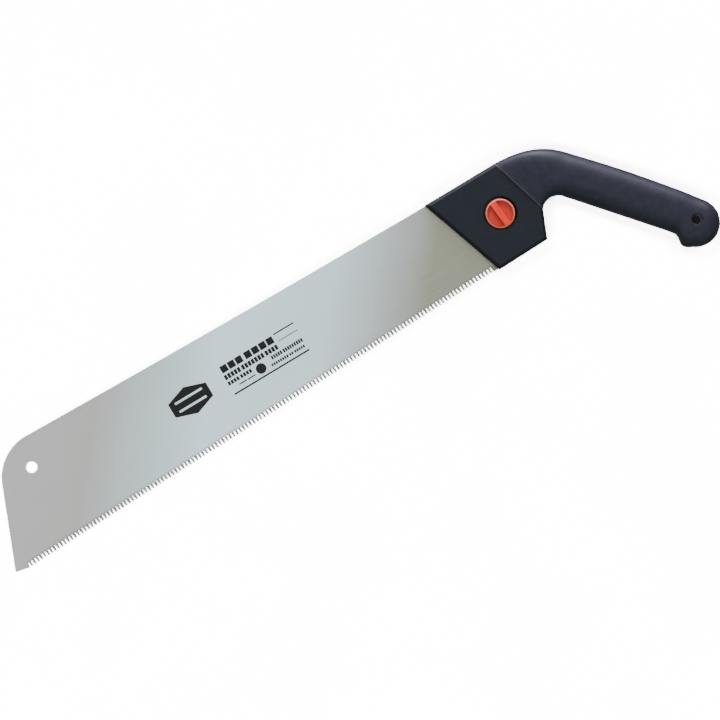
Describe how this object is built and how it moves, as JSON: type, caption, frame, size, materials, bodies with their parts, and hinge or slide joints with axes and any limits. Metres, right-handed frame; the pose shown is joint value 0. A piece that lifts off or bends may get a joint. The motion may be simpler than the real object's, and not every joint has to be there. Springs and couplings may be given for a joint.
{
  "type": "japanese pull saw",
  "caption": "Pull saw with a long replaceable toothed steel blade clamped by a bolt and red finger knob in the flat head of a hollow two-shell pistol grip.",
  "frame": {"origin": "middle of the bounding box in plan, at the height of the lowest point of the grip, with the saw lying on its right side", "axes": "+X along the tooth line from the toe to the handle, +Y from the teeth to the spine, +Z out of the knob side of the handle"},
  "size_m": [0.5536, 0.1448, 0.026],
  "materials": {
    "blade_steel": "bright rolled steel, fine lengthwise grain, ground teeth",
    "handle_plastic": "dark blue-grey moulded plastic, fine spark-eroded grain on the grip",
    "knob_plastic": "red moulded plastic, semi-gloss",
    "zinc_steel": "zinc-plated steel",
    "blade_ink": "black printed ink, plain marks with no lettering",
    "brass": "turned brass"
  },
  "bodies": {
    "handle": {"left_shell": "handle_plastic", "right_shell": "handle_plastic", "backing_plate": "zinc_steel", "pressure_plate": "zinc_steel", "plate_pin_upper": "zinc_steel", "plate_pin_lower": "zinc_steel", "clamp_bolt": "zinc_steel", "shell_screw_1": "zinc_steel", "shell_screw_2": "zinc_steel", "shell_screw_3": "zinc_steel", "shell_screw_4": "zinc_steel", "shell_screw_5": "zinc_steel", "shell_screw_6": "zinc_steel", "shell_screw_7": "zinc_steel"},
    "blade": {"blade": "blade_steel"},
    "washer": {"knob_washer": "zinc_steel"},
    "knob": {"clamp_knob": "knob_plastic", "knob_insert": "brass"}
  },
  "joints": [
    {"name": "blade_slide", "type": "slide", "parent": "handle", "child": "blade", "axis": [-1, 0, 0], "range_m": [0, 0.06]},
    {"name": "knob_lift", "type": "slide", "parent": "handle", "child": "washer", "axis": [0, 0, 1], "range_m": [0, 0.002]},
    {"name": "knob_turn", "type": "hinge", "parent": "washer", "child": "knob", "pos_m": [0.1469, 0.02443, 0.013], "axis": [0, 0, 1], "range_deg": [0, 720]}
  ],
  "couplings": [
    {"joint": "knob_lift", "follows": "knob_turn", "m_per_rad": 0.00015915}
  ]
}
